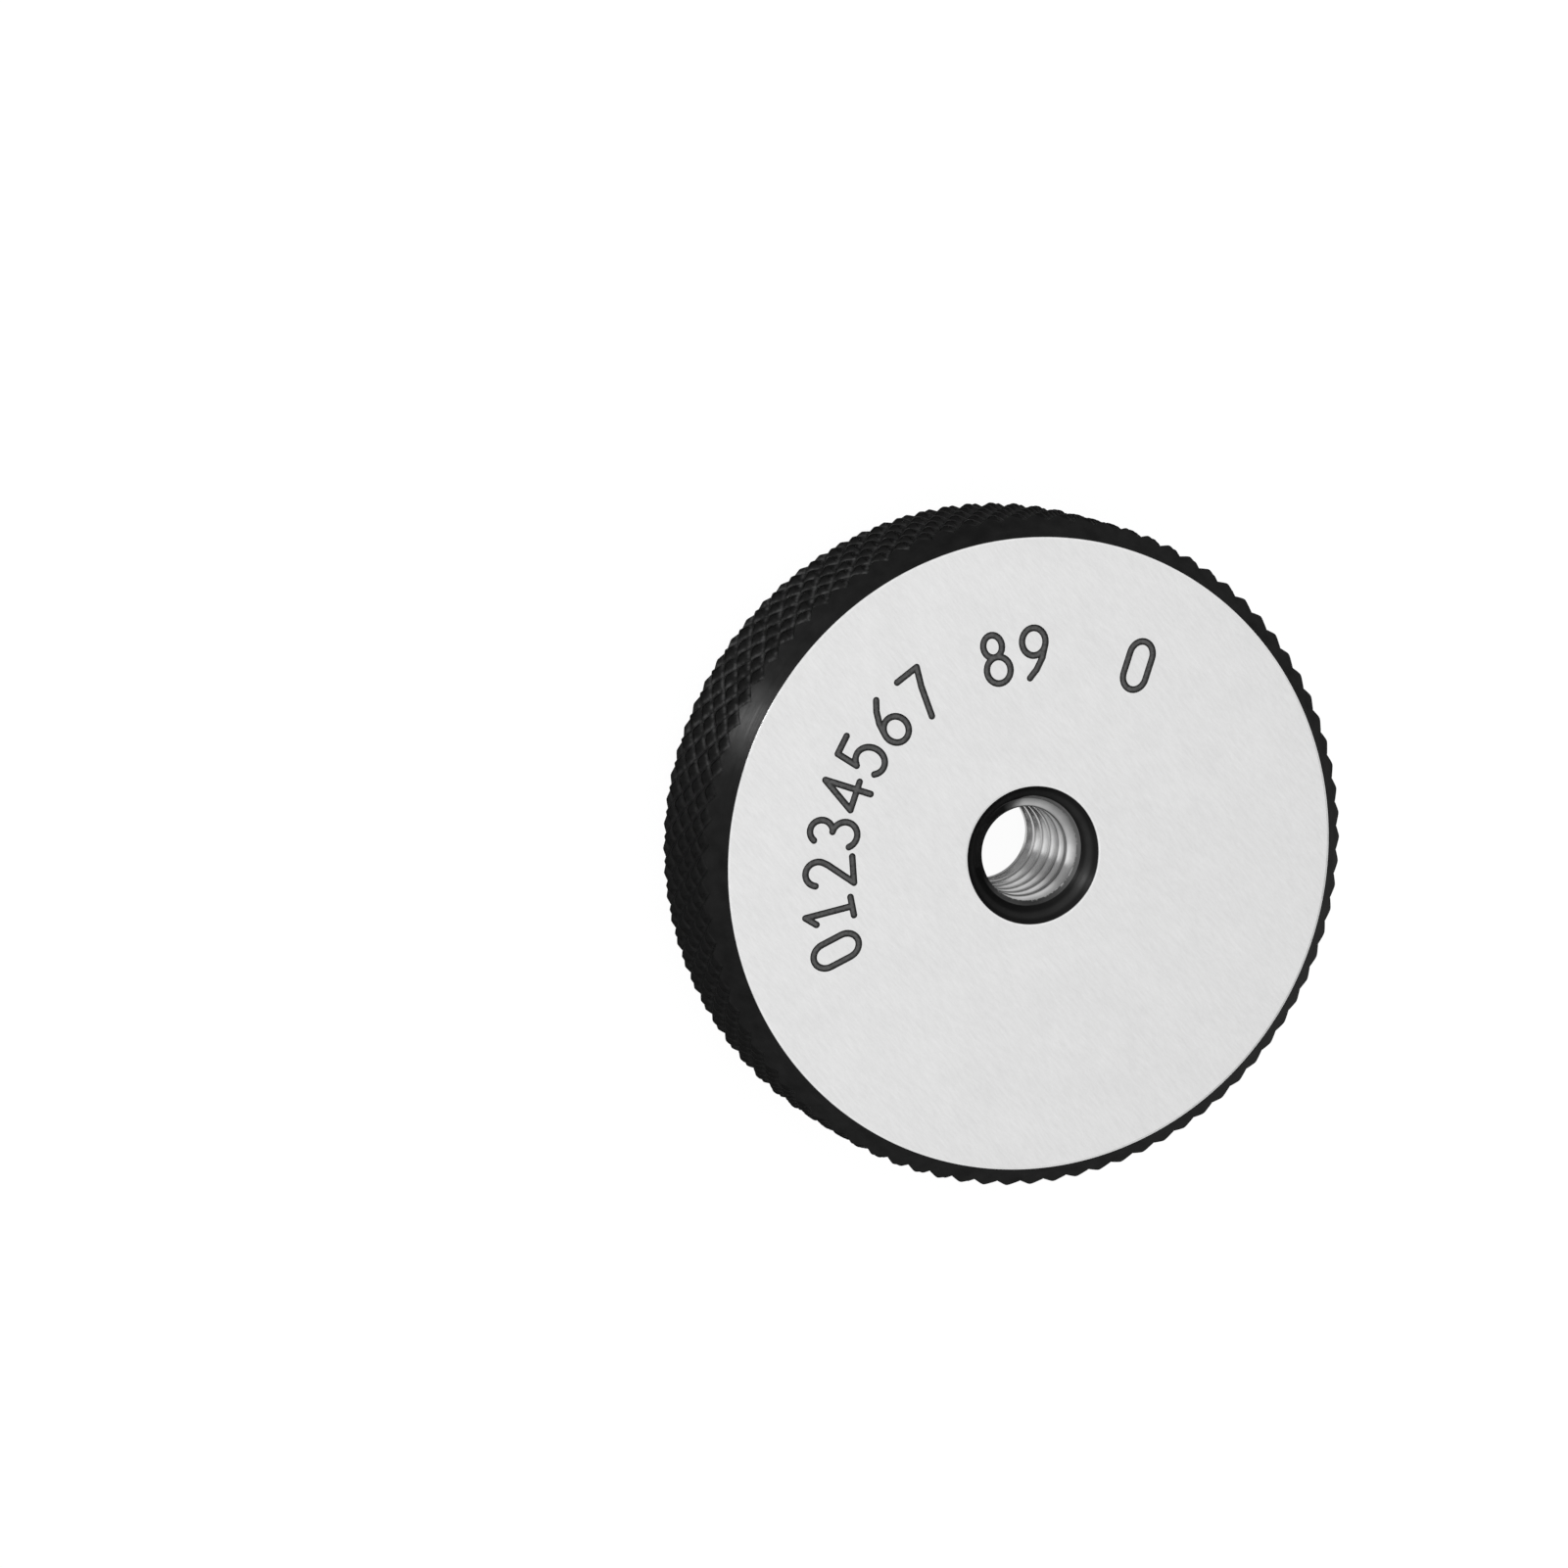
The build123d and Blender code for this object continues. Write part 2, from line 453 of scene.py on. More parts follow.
# --- the marked face: plain digits, engraved with a round-nosed cutter ---------
def arc(cx, cy, rx, ry, a0, a1, n=18):
    a = np.radians(np.linspace(a0, a1, n))
    return np.c_[cx + rx * np.cos(a), cy + ry * np.sin(a)]


def line(*p):
    return np.array(p, float)


def digit(c):
    """Centre lines of one digit, 1 high, with its origin at its centre."""
    if c == "0":
        return [np.vstack([arc(0, 0.22, 0.25, 0.28, 0, 180), arc(0, -0.22, 0.25, 0.28, 180, 360), [[0.25, 0.22]]])]
    if c == "1":
        return [line((-0.17, 0.30), (0.02, 0.5), (0.02, -0.5)), line((-0.17, -0.5), (0.21, -0.5))]
    if c == "2":
        return [np.vstack([arc(0.0, 0.24, 0.25, 0.26, 165, -25), line((0.16, 0.02), (-0.27, -0.5), (0.27, -0.5))])]
    if c == "3":
        return [np.vstack([arc(-0.02, 0.26, 0.235, 0.24, 150, -78, 16), arc(-0.02, -0.235, 0.265, 0.265, 84, -150, 20)])]
    if c == "4":
        return [line((0.13, -0.5), (0.13, 0.5), (-0.30, -0.20), (0.30, -0.20))]
    if c == "5":
        return [np.vstack([line((0.21, 0.5), (-0.19, 0.5), (-0.23, 0.03)), arc(-0.02, -0.18, 0.27, 0.32, 122, -140, 22)])]
    if c == "6":
        return [np.vstack([line((0.14, 0.5), (-0.02, 0.34), (-0.16, 0.12)), arc(0.0, -0.22, 0.255, 0.28, 160, 520, 30)])]
    if c == "7":
        return [line((-0.26, 0.5), (0.25, 0.5), (0.10, 0.12), (-0.07, -0.5))]
    if c == "8":
        return [arc(0, 0.27, 0.20, 0.23, -90, 270, 26), arc(0, -0.23, 0.255, 0.27, -90, 270, 30)]
    if c == "9":
        return [np.vstack([line((-0.14, -0.5), (0.02, -0.34), (0.16, -0.12)), arc(0.0, 0.22, 0.255, 0.28, -20, 340, 30)])]


STROKE = 0.325            # width of a stroke
HEIGHT = 2.34             # over the centre lines
# digit, radius, angle in degrees, and how far it leans from upright on the arc
MARKS = [
    ("0", 10.55, -157.6, 2.0), ("1", 10.35, -167.6, -1.0), ("2", 10.10, -178.2, 2.5), ("3", 10.00, 171.0, -2.0),
    ("4", 9.88, 160.0, 1.0), ("5", 9.86, 149.0, 3.0), ("6", 9.78, 137.4, -1.5), ("7", 9.66, 125.6, 0.0),
    ("8", 9.55, 101.6, 4.0), ("9", 9.60, 90.0, 5.0),
    ("0", 10.20, 59.5, 12.0),
]


def strokes():
    out = []
    for c, r, angle, lean in MARKS:
        t = math.radians(angle - 90 + lean)
        centre = np.array([r * math.cos(math.radians(angle)), r * math.sin(math.radians(angle))])
        turn = np.array([[math.cos(t), math.sin(t)], [-math.sin(t), math.cos(t)]])
        for s in digit(c):
            out.append((s * HEIGHT * np.array([0.98, 1.0])) @ turn + centre)
    return out


def capsule(p, q, w, n=9):
    """The outline of one straight piece of a stroke, with round ends."""
    d = q - p
    a = math.atan2(d[1], d[0])
    e1 = np.linspace(a - math.pi / 2, a + math.pi / 2, n)
    e2 = np.linspace(a + math.pi / 2, a + 3 * math.pi / 2, n)
    return np.vstack([q + w * np.c_[np.cos(e1), np.sin(e1)], p + w * np.c_[np.cos(e2), np.sin(e2)]])


def outline(path, w):
    """A stroke's centre line with repeated points dropped, and whether it closes on itself."""
    path = np.asarray(path)
    keep = np.r_[True, np.hypot(*np.diff(path, axis=0).T) > 1e-6]
    path = path[keep]
    closed = np.hypot(*(path[0] - path[-1])) < 1e-3
    return path, closed


def to_segments(x, segs):
    """Distance from points to the nearest centre line."""
    best = np.full(len(x), 1e9)
    for p, q in segs:
        d = q - p
        t = np.clip(((x - p) @ d) / (d @ d), 0, 1)
        best = np.minimum(best, np.hypot(*(x - p - t[:, None] * d).T))
    return best


def marked_face():
    w = STROKE / 2
    paths = strokes()
    verts, edges, polys = [], [], []

    def add(points, closed=True):
        k = len(verts)
        verts.extend(map(tuple, points))
        n = len(points)
        edges.extend((k + i, k + (i + 1) % n) for i in range(n if closed else n - 1))
        return list(range(k, k + n))

    for r, n in ((rim_top, N_FACE), (hole_top, N_BORE)):
        ids = r[0]
        co = np.vstack(S.co)[ids]
        add(co[:, :2])
    for radius, n in ((5.0, 128), (6.8, 160), (12.4, 256), (13.6, 320)):
        a = (np.arange(n) + 0.5) * TAU / n
        verts.extend(map(tuple, np.c_[radius * np.cos(a), radius * np.sin(a)]))
    segs = [(s[i], s[i + 1]) for s in paths for i in range(len(s) - 1) if np.hypot(*(s[i + 1] - s[i])) > 1e-6]
    groups = []
    for s in paths:
        mine = [(s[i], s[i + 1]) for i in range(len(s) - 1) if np.hypot(*(s[i + 1] - s[i])) > 1e-6]
        groups.append(mine)
    # the outline of all strokes, as the boundary of a distance field, traced on a fine grid
    cell = 0.034
    levels = [w, w - 0.035]
    inside = []
    for s, mine in zip(paths, groups):
        lo, hi = s.min(0) - w - 2 * cell, s.max(0) + w + 2 * cell
        lo = np.floor(lo / cell) * cell
        gx = np.arange(lo[0], hi[0], cell)
        gy = np.arange(lo[1], hi[1], cell)
        inside.append((gx, gy))
    # glyph by glyph, strokes of one glyph share a field
    seen = []
    k = 0
    for c, *_ in MARKS:
        m = len(digit(c))
        mine = [g for grp in groups[k : k + m] for g in grp]
        pts = np.vstack(paths[k : k + m])
        k += m
        lo = np.floor((pts.min(0) - w - 2 * cell) / cell) * cell
        gx = lo[0] + cell * np.arange(int((pts[:, 0].max() - lo[0] + w + 3 * cell) / cell) + 1)
        gy = lo[1] + cell * np.arange(int((pts[:, 1].max() - lo[1] + w + 3 * cell) / cell) + 1)
        X, Y = np.meshgrid(gx, gy, indexing="ij")
        D = to_segments(np.c_[X.ravel(), Y.ravel()], mine).reshape(X.shape)
        for level in levels:
            loops = contour(gx, gy, D - level)
            for loop in loops:
                loop = snap(loop, mine, level)
                add(loop)
        # inner points, away from the two contours
        sel = (D < levels[1] - 0.5 * cell)
        step = (np.add.outer(np.arange(len(gx)), np.arange(len(gy))) % 2) == 0
        sel &= step
        verts.extend(map(tuple, np.c_[X[sel], Y[sel]]))
        seen.append((lo - 0.1, np.array([gx[-1], gy[-1]]) + 0.1, mine))
    vo, eo, fo, ov, oe, of = delaunay_2d_cdt([Vector(p) for p in verts], edges, [], 0, 1e-6, True)
    V = np.array([tuple(p) for p in vo], float)
    F = np.array([f for f in fo if len(f) == 3], int)
    cen = V[F].mean(1)
    r = np.hypot(*cen.T)
    near = np.full(len(V), 1e9)
    dist = np.full(len(F), 1e9)
    for lo, hi, mine in seen:
        sv = np.all((V > lo) & (V < hi), 1)
        near[sv] = np.minimum(near[sv], to_segments(V[sv], mine))
        sf = np.all((cen > lo) & (cen < hi), 1)
        dist[sf] = np.minimum(dist[sf], to_segments(cen[sf], mine))
    ok = (r < FACE_R - 0.9 * EDGE) & (r > MOUTH_R + EDGE - 3e-4)
    # drop the triangles in the hole and outside the rim's polygon
    depth = 0.085 * (1 - np.clip(near / w, 0, 1) ** 4)
    depth[near > w - 2e-3] = 0.0
    ids = S.points(np.c_[V, T - depth], np.clip(near / w, 0, 1))
    F, dist, cen = F[ok], dist[ok], cen[ok]
    mark = np.all(near[F] < w + 2e-3, 1) & (np.min(near[F], 1) < w - 2e-3)
    S.faces(ids[F[~mark]], GROUND, FACE_P)
    S.faces(ids[F[mark]], MARK, MARK_P)


def contour(gx, gy, f):
    """Closed loops where f changes sign on a grid (marching squares)."""
    f = np.where(np.abs(f) < 1e-9, 1e-9, f)
    s = f < 0
    point, link = {}, {}

    def cross(i, j, k, l):
        key = (i, j, k, l)
        if key not in point:
            t = f[i, j] / (f[i, j] - f[k, l])
            point[key] = (gx[i] + (gx[k] - gx[i]) * t, gy[j] + (gy[l] - gy[j]) * t)
        return key

    nx, ny = f.shape
    cells = s[:-1, :-1].astype(int) + s[1:, :-1] + s[1:, 1:] + s[:-1, 1:]
    for i, j in zip(*np.nonzero((cells > 0) & (cells < 4))):
        c = [(i, j), (i + 1, j), (i + 1, j + 1), (i, j + 1)]
        hits = []
        for a in range(4):
            p, q = c[a], c[(a + 1) % 4]
            if s[p] != s[q]:
                lo, hi = (p, q) if p < q else (q, p)
                hits.append(cross(*lo, *hi))
        if len(hits) == 2:
            pairs = [(hits[0], hits[1])]
        else:
            middle = f[i : i + 2, j : j + 2].mean() < 0
            same = s[c[0]] == middle
            pairs = [(hits[0], hits[1]), (hits[2], hits[3])] if same else [(hits[3], hits[0]), (hits[1], hits[2])]
        for a, b in pairs:
            link.setdefault(a, []).append(b)
            link.setdefault(b, []).append(a)
    loops, done = [], set()
    for start in list(link):
        if start in done:
            continue
        loop, prev, cur = [start], None, start
        done.add(start)
        while True:
            nxt = [x for x in link[cur] if x != prev and x not in done]
            if not nxt:
                break
            prev, cur = cur, nxt[0]
            done.add(cur)
            loop.append(cur)
        pts = np.array([point[x] for x in loop])
        gap = np.hypot(*(pts - np.roll(pts, 1, 0)).T)
        loops.append(pts[gap > 0.008])
    return loops


def snap(pts, segs, level):
    """Moves points on to the exact distance from the centre lines."""
    for _ in range(3):
        e = 1e-4
        d = to_segments(pts, segs)
        gx = (to_segments(pts + [e, 0], segs) - d) / e
        gy = (to_segments(pts + [0, e], segs) - d) / e
        n = np.maximum(np.hypot(gx, gy), 0.5)
        step = np.clip((level - d) / n, -0.01, 0.01)
        pts = pts + np.c_[gx / n, gy / n] * step[:, None]
    return pts


marked_face()

# --- one mesh ---------------------------------------------------------------------
co = np.vstack(S.co) * MM
tri = np.vstack(S.tri)
mat = np.concatenate(S.mat)
patch = np.concatenate(S.patch)
tone_and_painted_light = np.concatenate(S.tone_and_painted_light)

mesh = bpy.data.meshes.new("gauge_body")
mesh.from_pydata(co.tolist(), [], tri.tolist())
mesh.polygons.foreach_set("material_index", mat.astype(np.int32))
bm = bmesh.new()
bm.from_mesh(mesh)
pl = bm.faces.layers.int.new("patch")
wl = bm.verts.layers.float.new("tone_and_painted_light")
bm.faces.ensure_lookup_table()
bm.verts.ensure_lookup_table()
for f, p in zip(bm.faces, patch):
    f[pl] = int(p)
for v, x in zip(bm.verts, tone_and_painted_light):
    v[wl] = float(x)
bmesh.ops.delete(bm, geom=[v for v in bm.verts if not v.link_faces], context="VERTS")
bmesh.ops.remove_doubles(bm, verts=bm.verts, dist=1.5e-6)
bmesh.ops.dissolve_degenerate(bm, edges=bm.edges, dist=1e-7)
bmesh.ops.recalc_face_normals(bm, faces=bm.faces)
limit = math.radians(32)


def sliver(f):
    """A triangle left very thin by a cut, whose normal says nothing."""
    return f.calc_area() < 0.004 * MM * max(e.calc_length() for e in f.edges)


thin = {f for f in bm.faces if f[pl] in (THREAD_P, LEAD_P, SINK_P) and sliver(f)}
for e in bm.edges:
    fs = e.link_faces
    if len(fs) == 2:
        a, b = fs[0][pl], fs[1][pl]
        hard = a != b and {a, b} != {SINK_P, LEAD_P}
        hard = hard or fs[0] in thin or fs[1] in thin
        bend = math.radians(18) if a == b == THREAD_P else limit
        e.smooth = not (hard or fs[0].normal.angle(fs[1].normal, 0.0) > bend)
for f in bm.faces:
    f.smooth = True
open_edges = sum(1 for e in bm.edges if len(e.link_faces) != 2)
print("gauge_body:", len(bm.verts), "vertices", len(bm.faces), "faces,", open_edges, "edges that don't join two faces, volume mm3",
      round(bm.calc_volume() * 1e9, 2))
bm.to_mesh(mesh)
bm.free()
mesh.update()
body = bpy.data.objects.new("gauge_body", mesh)
bpy.context.scene.collection.objects.link(body)


# ---------------------------------------------------------------------------
# Materials
# ---------------------------------------------------------------------------
def material(name):
    m = bpy.data.materials.new(name)
    m.use_nodes = True
    nt = m.node_tree
    b = nt.nodes["Principled BSDF"]
    return m, nt, b


def node(nt, kind, **values):
    n = nt.nodes.new(kind)
    for k, v in values.items():
        if k in n.inputs:
            n.inputs[k].default_value = v
        else:
            setattr(n, k, v)
    return n


def math_node(nt, op, a, b=None, clamp=False):
    n = nt.nodes.new("ShaderNodeMath")
    n.operation = op
    n.use_clamp = clamp
    for i, x in enumerate([a] if b is None else [a, b]):
        if isinstance(x, (int, float)):
            n.inputs[i].default_value = x
        else:
            nt.links.new(x, n.inputs[i])
    return n.outputs[0]


def map_range(nt, value, a, b, c, d):
    n = nt.nodes.new("ShaderNodeMapRange")
    nt.links.new(value, n.inputs["Value"])
    for k, x in (("From Min", a), ("From Max", b), ("To Min", c), ("To Max", d)):
        n.inputs[k].default_value = x
    return n.outputs["Result"]


def coords(nt, scale=(1, 1, 1), rotation=(0, 0, 0)):
    """Object coordinates in millimetres, turned and stretched."""
    t = nt.nodes.new("ShaderNodeTexCoord")
    m1 = nt.nodes.new("ShaderNodeMapping")
    m1.inputs["Rotation"].default_value = rotation
    m1.inputs["Scale"].default_value = (1000, 1000, 1000)
    nt.links.new(t.outputs["Object"], m1.inputs["Vector"])
    m2 = nt.nodes.new("ShaderNodeMapping")
    m2.inputs["Scale"].default_value = scale
    nt.links.new(m1.outputs["Vector"], m2.inputs["Vector"])
    return m2.outputs["Vector"]


def noise(nt, vector, scale, detail=3.0, rough=0.6):
    n = nt.nodes.new("ShaderNodeTexNoise")
    n.inputs["Scale"].default_value = scale
    n.inputs["Detail"].default_value = detail
    n.inputs["Roughness"].default_value = rough
    nt.links.new(vector, n.inputs["Vector"])
    return n.outputs["Fac"]


def grey_ramp(nt, fac, stops):
    n = nt.nodes.new("ShaderNodeValToRGB")
    cr = n.color_ramp
    while len(cr.elements) < len(stops):
        cr.elements.new(0.5)
    for e, (p, c) in zip(cr.elements, stops):
        e.position = p
        e.color = (c[0], c[1], c[2], 1) if isinstance(c, (tuple, list)) else (c, c, c, 1)
    nt.links.new(fac, n.inputs["Fac"])
    return n.outputs["Color"]


def bump(nt, b, height, distance_mm, strength=1.0):
    n = nt.nodes.new("ShaderNodeBump")
    n.inputs["Strength"].default_value = strength
    n.inputs["Distance"].default_value = distance_mm * MM
    nt.links.new(height, n.inputs["Height"])
    nt.links.new(n.outputs["Normal"], b.inputs["Normal"])
    return n


# ground steel: short fine scratches one way, faintly mottled
m_ground, nt, b = material("ground_steel")
b.inputs["Metallic"].default_value = 1.0
grain = noise(nt, coords(nt, (1.0, 4.0, 1.0), (0, 0, math.radians(50))), 1.6, 4.0, 0.65)
fine = noise(nt, coords(nt, (2.4, 10.0, 1.0), (0, 0, math.radians(55))), 1.6, 3.0, 0.6)
mottle = noise(nt, coords(nt, (1, 1, 1)), 0.5, 3.0, 0.5)
mix = math_node(nt, "ADD", math_node(nt, "MULTIPLY", grain, 0.80), math_node(nt, "MULTIPLY", fine, 0.20))
tone = math_node(nt, "ADD", math_node(nt, "MULTIPLY", mix, 0.86), math_node(nt, "MULTIPLY", mottle, 0.14))
nt.links.new(grey_ramp(nt, tone, [(0.30, 0.70), (0.70, 0.86)]), b.inputs["Base Color"])
nt.links.new(map_range(nt, mix, 0.3, 0.7, 0.30, 0.38), b.inputs["Roughness"])
bump(nt, b, mix, 0.003, 0.5)

# the faces' edges, rubbed bright
m_edge, nt, b = material("rubbed_edge")
b.inputs["Metallic"].default_value = 1.0
rub_and_glint = noise(nt, coords(nt), 2.5, 3.0, 0.6)
nt.links.new(grey_ramp(nt, rub_and_glint, [(0.35, 0.68), (0.65, 0.78)]), b.inputs["Base Color"])
nt.links.new(map_range(nt, rub_and_glint, 0.3, 0.7, 0.16, 0.24), b.inputs["Roughness"])


def turning_lines(nt, scale):
    """Noise that is the same all the way round: the marks of turning."""
    t = nt.nodes.new("ShaderNodeTexCoord")
    sep = nt.nodes.new("ShaderNodeSeparateXYZ")
    nt.links.new(t.outputs["Object"], sep.inputs[0])
    rad = math_node(nt, "SQRT", math_node(nt, "ADD", math_node(nt, "POWER", sep.outputs["X"], 2.0), math_node(nt, "POWER", sep.outputs["Y"], 2.0)))
    comb = nt.nodes.new("ShaderNodeCombineXYZ")
    nt.links.new(rad, comb.inputs["X"])
    nt.links.new(sep.outputs["Z"], comb.inputs["Z"])
    grow = nt.nodes.new("ShaderNodeMapping")
    grow.inputs["Scale"].default_value = (1000, 1000, 1000)
    nt.links.new(comb.outputs[0], grow.inputs["Vector"])
    return noise(nt, grow.outputs["Vector"], scale, 3.0, 0.6)


def black_oxide(name, tint, dark, light, smooth, rough, sheen_stripe=None):
    """Black oxide on turned steel: a dark metal with a little dull oxide over it. A stripe
    (radius, half width) is painted lighter, a painted sheen."""
    m, nt, b = material(name)
    b.inputs["Metallic"].default_value = 0.7
    b.inputs["Specular IOR Level"].default_value = 0.0
    b.inputs["Specular Tint"].default_value = (tint, tint, tint, 1)
    cloud = noise(nt, coords(nt), 1.2, 4.0, 0.6)
    colour = grey_ramp(nt, cloud, [(0.3, dark), (0.7, light)])
    if sheen_stripe:
        t = nt.nodes.new("ShaderNodeTexCoord")
        flat = nt.nodes.new("ShaderNodeVectorMath")
        flat.operation = "MULTIPLY"
        nt.links.new(t.outputs["Object"], flat.inputs[0])
        flat.inputs[1].default_value = (1000, 1000, 0)
        far = nt.nodes.new("ShaderNodeVectorMath")
        far.operation = "LENGTH"
        nt.links.new(flat.outputs["Vector"], far.inputs[0])
        off = math_node(nt, "ABSOLUTE", math_node(nt, "SUBTRACT", far.outputs["Value"], sheen_stripe[0]))
        n = nt.nodes.new("ShaderNodeMapRange")
        n.interpolation_type = "SMOOTHSTEP"
        nt.links.new(off, n.inputs["Value"])
        for k, x in (("From Min", 0.3 * sheen_stripe[1]), ("From Max", 1.5 * sheen_stripe[1]), ("To Min", 1.0), ("To Max", 0.48)):
            n.inputs[k].default_value = x
        m3 = nt.nodes.new("ShaderNodeMix")
        m3.data_type = "RGBA"
        m3.blend_type = "MULTIPLY"
        m3.inputs[0].default_value = 1.0
        nt.links.new(colour, m3.inputs[6])
        nt.links.new(n.outputs["Result"], m3.inputs[7])
        colour = m3.outputs[2]
    nt.links.new(colour, b.inputs["Base Color"])
    lines = turning_lines(nt, 9.0)
    nt.links.new(map_range(nt, lines, 0.3, 0.7, smooth, rough), b.inputs["Roughness"])
    bump(nt, b, lines, 0.006, 0.7)
    return m


m_black = black_oxide("black_oxide", 0.52, 0.013, 0.020, 0.17, 0.29)
# the countersink's copy is drawn lighter than the band's, with a painted sheen stripe at radius 2.93
m_sink = black_oxide("black_oxide_cone", 0.6, 0.034, 0.041, 0.30, 0.42, (2.93, 0.14))

# black oxide on the knurl: the same finish, with a painted highlight greyer low on the flanks that face up and on one
# side of the rim
m_knurl, nt, b = material("black_oxide_knurl")
b.inputs["Metallic"].default_value = 0.7
b.inputs["Specular IOR Level"].default_value = 0.0
b.inputs["Specular Tint"].default_value = (0.38, 0.38, 0.38, 1)
at = nt.nodes.new("ShaderNodeAttribute")
at.attribute_name = "tone_and_painted_light"
cloud = noise(nt, coords(nt), 1.7, 4.0, 0.65)
speck = noise(nt, coords(nt), 5.0, 3.0, 0.6)
# the painted highlight from the attribute, broken up by a cloud noise
rub_and_glint = math_node(nt, "MULTIPLY", map_range(nt, at.outputs["Fac"], 0.12, 0.95, 0.0, 1.0), map_range(nt, cloud, 0.38, 0.62, 0.30, 1.15))
nt.links.new(grey_ramp(nt, rub_and_glint, [(0.0, 0.0138), (0.35, 0.0265), (1.0, 0.092)]), b.inputs["Base Color"])
# and its finish is coarser away from that side
tc = nt.nodes.new("ShaderNodeTexCoord")
toward = nt.nodes.new("ShaderNodeVectorMath")
toward.operation = "DOT_PRODUCT"
nt.links.new(tc.outputs["Object"], toward.inputs[0])
toward.inputs[1].default_value = (math.cos(math.radians(132)) / 0.016, math.sin(math.radians(132)) / 0.016, 0.0)
coarse = map_range(nt, toward.outputs["Value"], 0.55, 0.90, 0.26, 0.0)
nt.links.new(math_node(nt, "ADD", map_range(nt, speck, 0.3, 0.7, 0.32, 0.50), coarse), b.inputs["Roughness"])
bump(nt, b, speck, 0.016, 0.8)

# lapped steel: the thread, with painted shade on its crests and down in the grooves, and a painted sheen on one side
m_bright, nt, b = material("lapped_steel")
b.inputs["Metallic"].default_value = 1.0
at = nt.nodes.new("ShaderNodeAttribute")
at.attribute_name = "tone_and_painted_light"
cloud = noise(nt, coords(nt), 2.0, 3.0, 0.5)
shine = math_node(nt, "ADD", at.outputs["Fac"], map_range(nt, cloud, 0.3, 0.7, -0.04, 0.04))
nt.links.new(grey_ramp(nt, shine, [(0.0, 0.018), (0.35, 0.16), (1.0, 0.84)]), b.inputs["Base Color"])
nt.links.new(map_range(nt, shine, 0.3, 1.0, 0.34, 0.14), b.inputs["Roughness"])

# turned steel: the cone bared where the thread runs in, fading into the black
m_lead, nt, b = material("turned_steel")
b.inputs["Metallic"].default_value = 0.7
b.inputs["Specular IOR Level"].default_value = 0.0
at = nt.nodes.new("ShaderNodeAttribute")
at.attribute_name = "tone_and_painted_light"
lines = turning_lines(nt, 12.0)
bare = math_node(nt, "ADD", at.outputs["Fac"], map_range(nt, lines, 0.3, 0.7, -0.06, 0.06))
nt.links.new(grey_ramp(nt, bare, [(0.0, 0.018), (0.5, 0.20), (1.0, 0.68)]), b.inputs["Base Color"])
nt.links.new(map_range(nt, lines, 0.3, 0.7, 0.48, 0.60), b.inputs["Roughness"])

# the engraved strokes: dark, dull cutter marks, with painted shade darker at their edges than in their middles
m_mark, nt, b = material("engraved_mark")
b.inputs["Specular IOR Level"].default_value = 0.15
at = nt.nodes.new("ShaderNodeAttribute")
at.attribute_name = "tone_and_painted_light"
speck = noise(nt, coords(nt), 7.0, 3.0, 0.6)
# painted shade: the attribute is the distance from the stroke's centre line, drawn darker towards the edges
tone = math_node(nt, "MULTIPLY", map_range(nt, at.outputs["Fac"], 0.25, 0.85, 1.0, 0.20), map_range(nt, speck, 0.3, 0.7, 0.65, 1.15))
nt.links.new(grey_ramp(nt, tone, [(0.0, 0.006), (0.4, 0.030), (1.0, 0.14)]), b.inputs["Base Color"])
nt.links.new(map_range(nt, speck, 0.3, 0.7, 0.38, 0.55), b.inputs["Roughness"])
bump(nt, b, speck, 0.010, 0.6)

for m in (m_ground, m_edge, m_black, m_knurl, m_sink, m_bright, m_lead, m_mark):
    mesh.materials.append(m)

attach(body, "root")
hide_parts("gauge_ring")

# ---------------------------------------------------------------------------
# Floor, world and lights
# ---------------------------------------------------------------------------
m_floor, nt, b = material("floor_white")
b.inputs["Base Color"].default_value = (0.10, 0.10, 0.10, 1)
b.inputs["Roughness"].default_value = 0.9
b.inputs["Specular IOR Level"].default_value = 0.0
b.inputs["Emission Color"].default_value = (1, 1, 1, 1)
b.inputs["Emission Strength"].default_value = 0.95
fm = bpy.data.meshes.new("floor")
fm.from_pydata([(-4, -4, 0), (4, -4, 0), (4, 4, 0), (-4, 4, 0)], [], [(0, 1, 2, 3)])
fm.materials.append(m_floor)
floor = bpy.data.objects.new("floor", fm)
bpy.context.scene.collection.objects.link(floor)
floor.location = (0, 0, -0.00002)

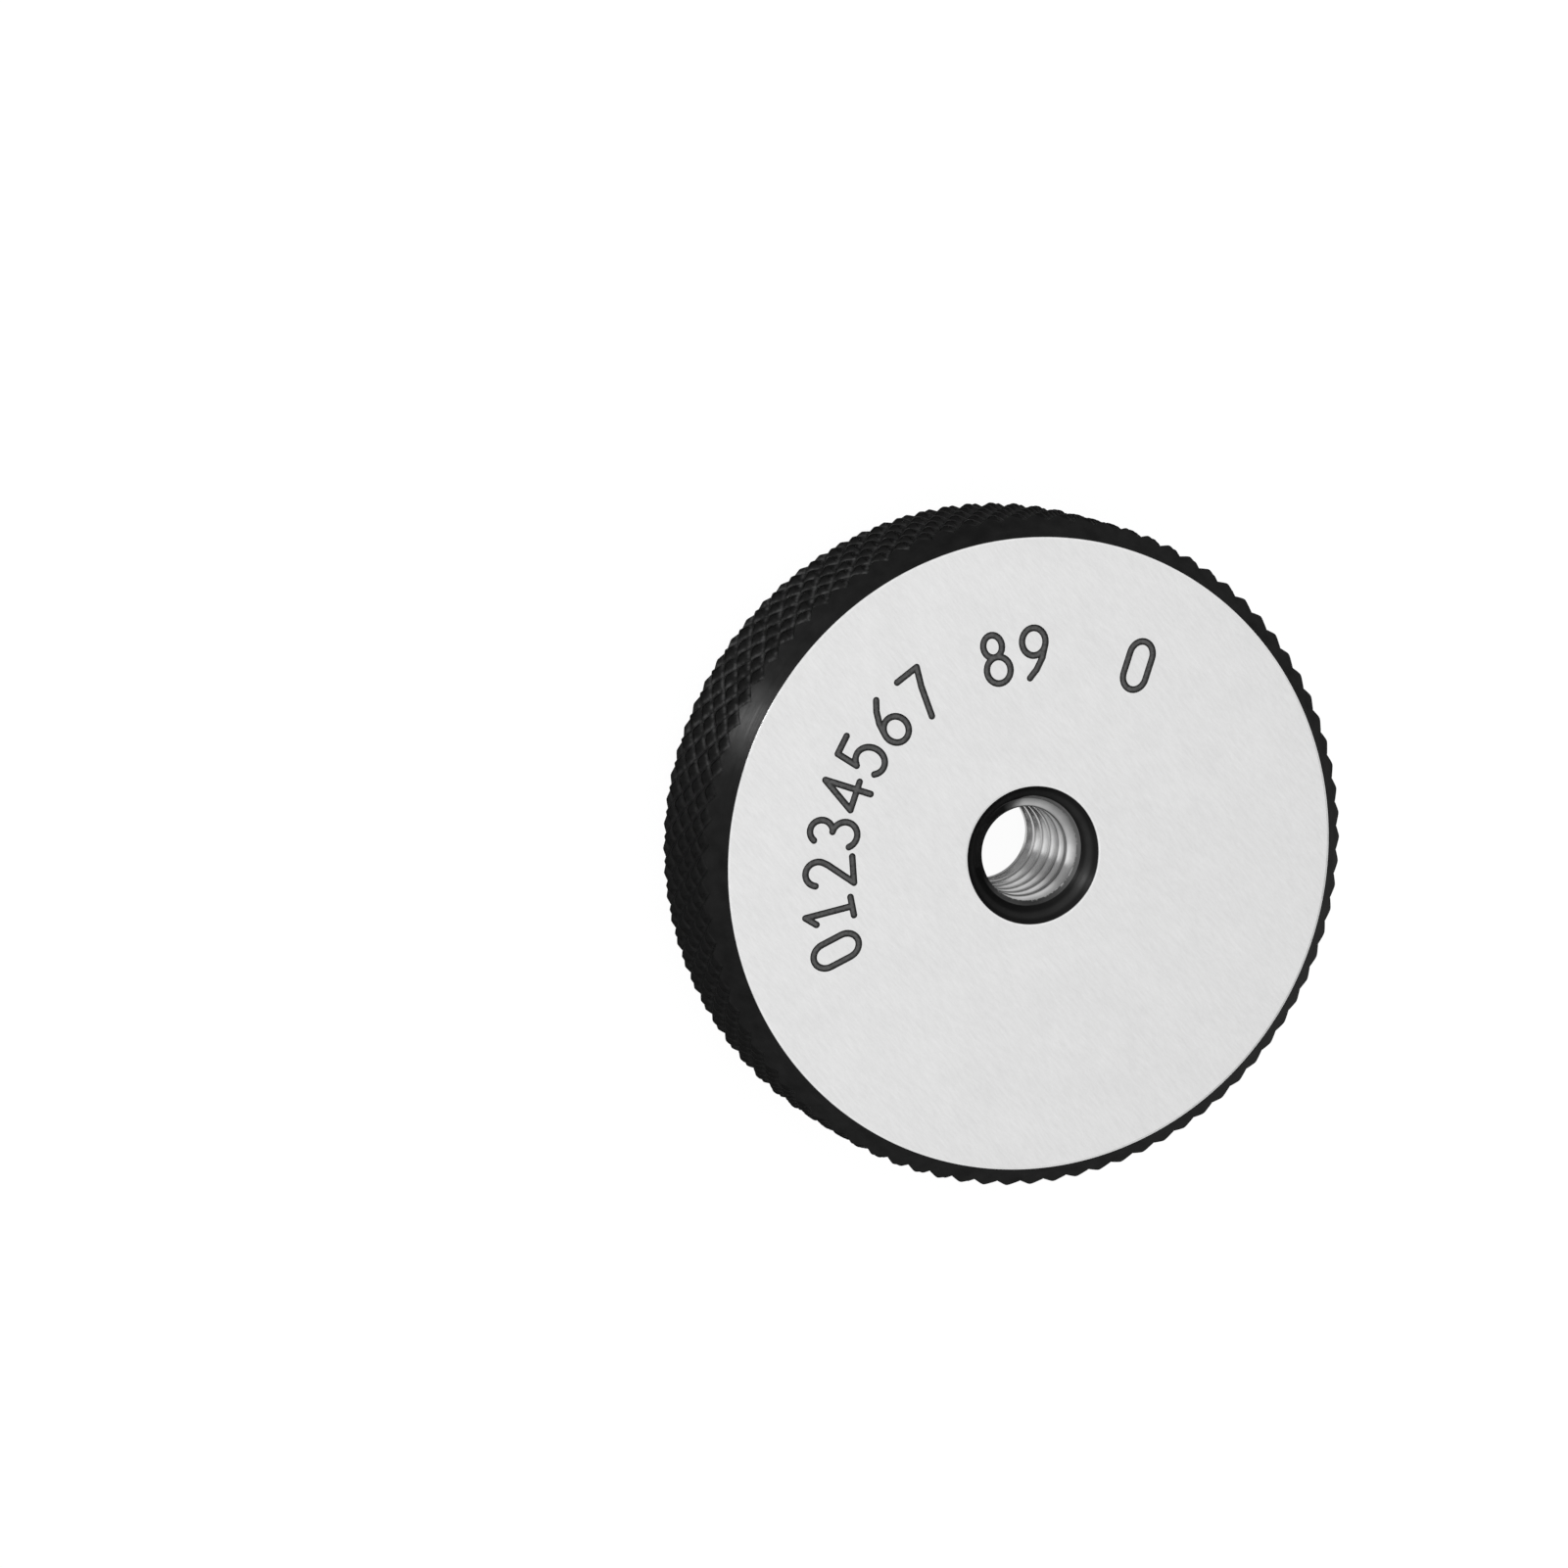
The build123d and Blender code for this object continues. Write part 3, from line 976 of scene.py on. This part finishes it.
world = bpy.data.worlds.new("studio")
bpy.context.scene.world = world
world.use_nodes = True
nt = world.node_tree
bg = nt.nodes["Background"]
tc = nt.nodes.new("ShaderNodeTexCoord")
sp = nt.nodes.new("ShaderNodeSeparateXYZ")
nt.links.new(tc.outputs["Generated"], sp.inputs[0])
# a bright ceiling, a wall of light on one side and a lower, longer one beside it
turn = math_node(nt, "ARCTAN2", sp.outputs["Y"], sp.outputs["X"])
around = map_range(nt, turn, -math.pi, math.pi, 0.0, 1.0)      # 0 at -180 degrees, 0.5 at 0
wall = grey_ramp(nt, around, [(0.0, 0.93), (0.04, 0.91), (0.13, 0.50), (0.18, 0.38), (0.33, 0.38), (0.62, 0.46), (0.70, 0.66), (0.80, 0.68), (0.845, 0.54), (0.893, 0.13), (0.988, 0.11), (0.996, 0.93)])
low = grey_ramp(nt, around, [(0.0, 0.85), (0.20, 0.50), (0.50, 0.45), (0.75, 0.45), (0.82, 0.90), (0.90, 1.25), (1.0, 0.85)])


def blend(nt, z_from, z_to, below, above):
    m = nt.nodes.new("ShaderNodeMix")
    m.data_type = "RGBA"
    nt.links.new(map_range(nt, sp.outputs["Z"], z_from, z_to, 0.0, 1.0), m.inputs[0])
    for k, x in ((6, below), (7, above)):
        if isinstance(x, float):
            m.inputs[k].default_value = (x, x, x, 1)
        else:
            nt.links.new(x, m.inputs[k])
    return m.outputs[2]


room = blend(nt, 0.13, 0.18, 0.88, low)
room = blend(nt, 0.40, 0.52, room, wall)
room = blend(nt, 0.79, 0.88, room, 1.12)
nt.links.new(room, bg.inputs["Color"])
bg.inputs["Strength"].default_value = 1.0


def area(name, place, size, power, target=(0, 0, 0.004)):
    d = bpy.data.lights.new(name, "AREA")
    d.shape = "RECTANGLE"
    d.size, d.size_y = size
    d.energy = power
    o = bpy.data.objects.new(name, d)
    bpy.context.scene.collection.objects.link(o)
    o.location = place
    o.rotation_mode = "QUATERNION"
    o.rotation_quaternion = (Vector(target) - Vector(place)).to_track_quat("-Z", "Y")
    return o


area("key_left", (-0.645, 0.335, 0.225), (0.13, 0.20), 0.95)

scene = bpy.context.scene
scene.view_settings.view_transform = "Standard"
scene.view_settings.look = "None"
scene.view_settings.exposure = 0.0
scene.view_settings.gamma = 1.0
scene.cycles.use_denoising = True
